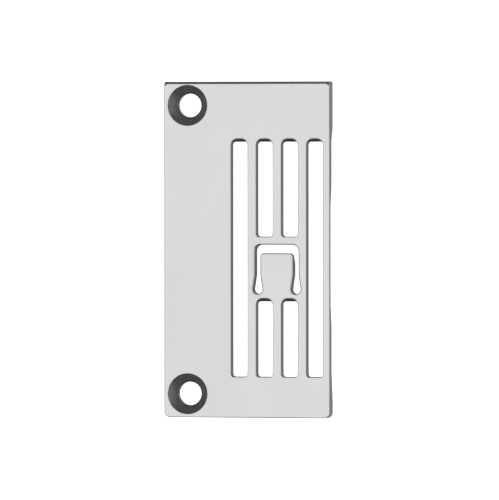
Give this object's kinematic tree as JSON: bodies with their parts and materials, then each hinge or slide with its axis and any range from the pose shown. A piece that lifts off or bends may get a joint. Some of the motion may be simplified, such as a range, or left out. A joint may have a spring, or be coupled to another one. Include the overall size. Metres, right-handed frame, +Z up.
{
  "type": "sewing machine needle plate",
  "caption": "Flat rectangular steel plate with countersunk screw holes along one edge, long parallel feed slots and a U-shaped needle slot around a tapered stitch tongue.",
  "frame": {"origin": "under the middle of the plate, on the surface it lies on", "axes": "+X to the right across the plate, away from the screw holes; +Y along it to the rear, the way the stitch tongue points; +Z up, out of the face"},
  "size_m": [0.0344, 0.068, 0.003],
  "materials": {
    "ground_steel": "ground satin steel, with milled slots and turned countersinks"
  },
  "bodies": {
    "root": {"needle_plate": "ground_steel"}
  },
  "joints": []
}
